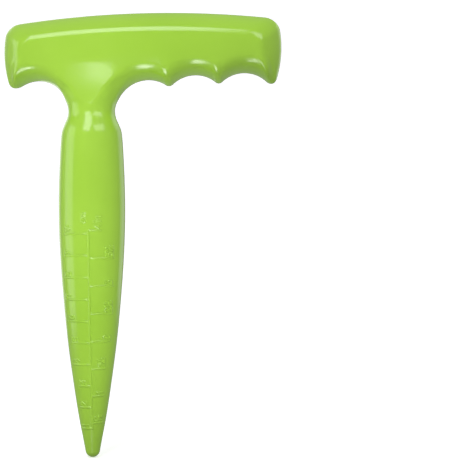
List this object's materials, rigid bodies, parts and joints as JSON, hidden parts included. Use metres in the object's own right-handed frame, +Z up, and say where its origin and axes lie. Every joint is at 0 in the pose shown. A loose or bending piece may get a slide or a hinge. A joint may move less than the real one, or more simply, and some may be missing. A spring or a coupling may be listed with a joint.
{
  "type": "bulb planter",
  "caption": "T-handle hand dibber for planting bulbs: tapered round spike with a raised depth scale, narrow neck and an arched handle with finger grooves.",
  "frame": {"origin": "the spike's tip, on the spike's axis and in the parting plane of the two shells", "axes": "+Z up the spike's axis towards the handle, +X along the handle towards its longer side with three finger grooves, -Y towards the face that carries the raised scale"},
  "size_m": [0.1296, 0.0314, 0.2067],
  "materials": {
    "green_plastic": "glossy lime-green moulded plastic"
  },
  "bodies": {
    "root": {"front_shell": "green_plastic", "rear_shell": "green_plastic"}
  },
  "joints": []
}
